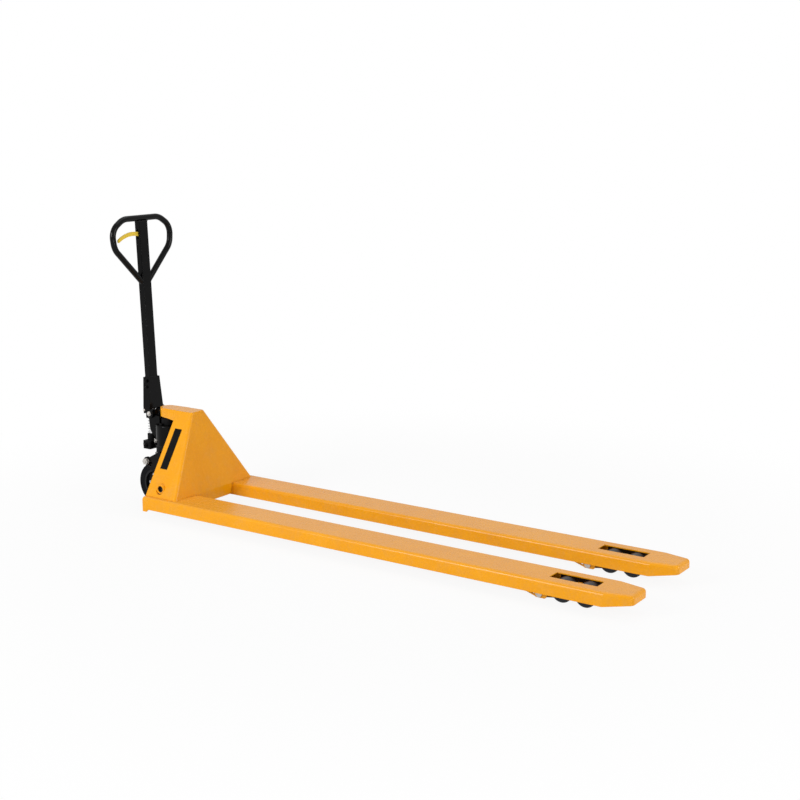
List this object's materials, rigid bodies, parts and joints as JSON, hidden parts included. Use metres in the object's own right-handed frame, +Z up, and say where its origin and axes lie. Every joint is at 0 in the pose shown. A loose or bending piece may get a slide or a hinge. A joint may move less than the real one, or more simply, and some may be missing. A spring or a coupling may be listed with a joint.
{
  "type": "pallet jack",
  "caption": "Hand pallet truck with long forks, tandem load rollers, steering wheels, hydraulic pump and an upright loop handle.",
  "frame": {"origin": "on the floor, under the middle of the whole truck", "axes": "+X towards the fork toes, +Y to the left looking along +X, +Z up"},
  "size_m": [2.3778, 0.52, 1.2013],
  "materials": {
    "frame_paint": "orange-yellow powder coat, glossy",
    "black_paint": "black powder coat, semi-gloss",
    "black_cast": "dark cast iron and blackened steel",
    "chrome_rod": "hard chromed, polished",
    "roller_tread": "dark polyurethane, worn smooth",
    "wheel_tread": "black rubber",
    "hub_casting": "painted cast hub",
    "lever_plastic": "moulded yellow plastic",
    "strip_film": "bare black strip",
    "spring_steel": "zinc-plated spring wire",
    "zinc_steel": "zinc-plated steel"
  },
  "bodies": {
    "chassis": {"head_frame": "frame_paint", "head_cap": "frame_paint", "lift_ram": "chrome_rod", "tie_tube": "frame_paint", "shaft_bushes": "frame_paint", "name_strips": "strip_film", "rod_guides": "frame_paint", "frame_pins": "zinc_steel", "fork_left": "frame_paint", "fork_right": "frame_paint", "roller_bracket_left": "frame_paint", "roller_bracket_right": "frame_paint"},
    "carriage": {"thrust_collar": "black_cast", "thrust_ring": "zinc_steel", "collar_bolts": "zinc_steel"},
    "rocker": {"rocker_shaft": "zinc_steel", "rocker_arms": "black_cast", "rod_levers": "frame_paint", "lever_pins": "zinc_steel"},
    "pump_unit": {"pump_base": "black_paint", "pump_cylinder": "black_paint", "oil_tank": "black_paint", "gland_nut": "chrome_rod", "tank_plugs": "zinc_steel", "steer_axle": "zinc_steel", "handle_pin": "zinc_steel"},
    "release_lever": {"release_lever": "zinc_steel"},
    "plunger": {"pump_plunger": "chrome_rod", "plunger_spring": "spring_steel"},
    "handle": {"handle_yoke": "black_paint", "handle_pins": "zinc_steel", "handle_tube": "black_paint", "handle_loop": "black_paint"},
    "press_roller": {"press_roller": "zinc_steel"},
    "control_lever": {"control_lever": "lever_plastic"},
    "release_rod": {"release_rod": "zinc_steel"},
    "push_rod_left": {"push_rod_left": "black_cast"},
    "roller_frame_left": {"roller_frame_left": "frame_paint", "frame_fittings_left": "zinc_steel"},
    "bogie_left": {"bogie_left": "frame_paint", "roller_axles_left": "zinc_steel"},
    "roller_rear_left": {"roller_tyre_rear_left": "roller_tread", "roller_hub_rear_left": "zinc_steel"},
    "roller_front_left": {"roller_tyre_front_left": "roller_tread", "roller_hub_front_left": "zinc_steel"},
    "wheel_left": {"wheel_tyre_left": "wheel_tread", "wheel_hub_left": "hub_casting", "wheel_bearings_left": "zinc_steel"},
    "push_rod_right": {"push_rod_right": "black_cast"},
    "roller_frame_right": {"roller_frame_right": "frame_paint", "frame_fittings_right": "zinc_steel"},
    "bogie_right": {"bogie_right": "frame_paint", "roller_axles_right": "zinc_steel"},
    "roller_rear_right": {"roller_tyre_rear_right": "roller_tread", "roller_hub_rear_right": "zinc_steel"},
    "roller_front_right": {"roller_tyre_front_right": "roller_tread", "roller_hub_front_right": "zinc_steel"},
    "wheel_right": {"wheel_tyre_right": "wheel_tread", "wheel_hub_right": "hub_casting", "wheel_bearings_right": "zinc_steel"}
  },
  "joints": [
    {"name": "lift", "type": "slide", "parent": "chassis", "child": "carriage", "axis": [0, 0, -1], "range_m": [0, 0.115]},
    {"name": "rocker_turn", "type": "hinge", "parent": "chassis", "child": "rocker", "pos_m": [-0.9071, 0, 0.118], "axis": [0, -1, 0], "range_deg": [0, 41.72]},
    {"name": "steer", "type": "hinge", "parent": "carriage", "child": "pump_unit", "pos_m": [-1.0551, 0, 0.207], "axis": [0, 0, 1], "range_deg": [-90, 90]},
    {"name": "handle_tilt", "type": "hinge", "parent": "pump_unit", "child": "handle", "pos_m": [-1.1291, 0, 0.372], "axis": [0, -1, 0], "range_deg": [0, 70], "stiffness_Nm_per_rad": 60, "springref_deg": -20.05},
    {"name": "plunger_stroke", "type": "slide", "parent": "pump_unit", "child": "plunger", "axis": [0, 0, -1], "range_m": [0, 0.03652], "deforming": ["plunger_spring"]},
    {"name": "press_roller_spin", "type": "hinge", "parent": "handle", "child": "press_roller", "pos_m": [-1.15768, 0, 0.38112], "axis": [0, 1, 0], "continuous": true},
    {"name": "control_lever_swing", "type": "hinge", "parent": "handle", "child": "control_lever", "pos_m": [-1.17203, 0, 1.11688], "axis": [-0.9992, 0, -0.0401], "range_deg": [-8, 16], "stiffness_Nm_per_rad": 4},
    {"name": "release_rod_slide", "type": "slide", "parent": "handle", "child": "release_rod", "axis": [-0.0401, 0, 0.9992], "range_m": [-0.0015, 0.00299]},
    {"name": "release_lever_turn", "type": "hinge", "parent": "pump_unit", "child": "release_lever", "pos_m": [-1.15768, 0, 0.25], "axis": [0, 1, 0], "range_deg": [-6.4, 12.81]},
    {"name": "rod_slide_left", "type": "slide", "parent": "chassis", "child": "push_rod_left", "axis": [1, 0, 0], "range_m": [0, 0.04699]},
    {"name": "frame_turn_left", "type": "hinge", "parent": "chassis", "child": "roller_frame_left", "pos_m": [0.8369, 0.185, 0.022], "axis": [0, 1, 0], "range_deg": [0, 61.43]},
    {"name": "bogie_turn_left", "type": "hinge", "parent": "roller_frame_left", "child": "bogie_left", "pos_m": [0.9572, 0.185, 0.04], "axis": [0, -1, 0], "range_deg": [0, 61.43]},
    {"name": "rear_roller_spin_left", "type": "hinge", "parent": "bogie_left", "child": "roller_rear_left", "pos_m": [0.9129, 0.185, 0.04], "axis": [0, 1, 0], "continuous": true},
    {"name": "front_roller_spin_left", "type": "hinge", "parent": "bogie_left", "child": "roller_front_left", "pos_m": [1.0015, 0.185, 0.04], "axis": [0, 1, 0], "continuous": true},
    {"name": "wheel_spin_left", "type": "hinge", "parent": "pump_unit", "child": "wheel_left", "pos_m": [-1.0551, 0.0715, 0.09], "axis": [0, 1, 0], "continuous": true},
    {"name": "rod_slide_right", "type": "slide", "parent": "chassis", "child": "push_rod_right", "axis": [1, 0, 0], "range_m": [0, 0.04699]},
    {"name": "frame_turn_right", "type": "hinge", "parent": "chassis", "child": "roller_frame_right", "pos_m": [0.8369, -0.185, 0.022], "axis": [0, 1, 0], "range_deg": [0, 61.43]},
    {"name": "bogie_turn_right", "type": "hinge", "parent": "roller_frame_right", "child": "bogie_right", "pos_m": [0.9572, -0.185, 0.04], "axis": [0, -1, 0], "range_deg": [0, 61.43]},
    {"name": "rear_roller_spin_right", "type": "hinge", "parent": "bogie_right", "child": "roller_rear_right", "pos_m": [0.9129, -0.185, 0.04], "axis": [0, 1, 0], "continuous": true},
    {"name": "front_roller_spin_right", "type": "hinge", "parent": "bogie_right", "child": "roller_front_right", "pos_m": [1.0015, -0.185, 0.04], "axis": [0, 1, 0], "continuous": true},
    {"name": "wheel_spin_right", "type": "hinge", "parent": "pump_unit", "child": "wheel_right", "pos_m": [-1.0551, -0.0715, 0.09], "axis": [0, 1, 0], "continuous": true}
  ],
  "couplings": [
    {"joint": "rocker_turn", "follows": "lift", "rad_per_m": 6.3285},
    {"joint": "plunger_stroke", "follows": "handle_tilt", "m_per_rad": 0.029876},
    {"joint": "release_rod_slide", "follows": "control_lever_swing", "m_per_rad": 0.0107},
    {"joint": "release_lever_turn", "follows": "control_lever_swing", "ratio": 0.8},
    {"joint": "rod_slide_left", "follows": "lift", "ratio": 0.40841},
    {"joint": "frame_turn_left", "follows": "lift", "rad_per_m": 9.318},
    {"joint": "bogie_turn_left", "follows": "lift", "rad_per_m": 9.318},
    {"joint": "rod_slide_right", "follows": "lift", "ratio": 0.40841},
    {"joint": "frame_turn_right", "follows": "lift", "rad_per_m": 9.318},
    {"joint": "bogie_turn_right", "follows": "lift", "rad_per_m": 9.318}
  ]
}
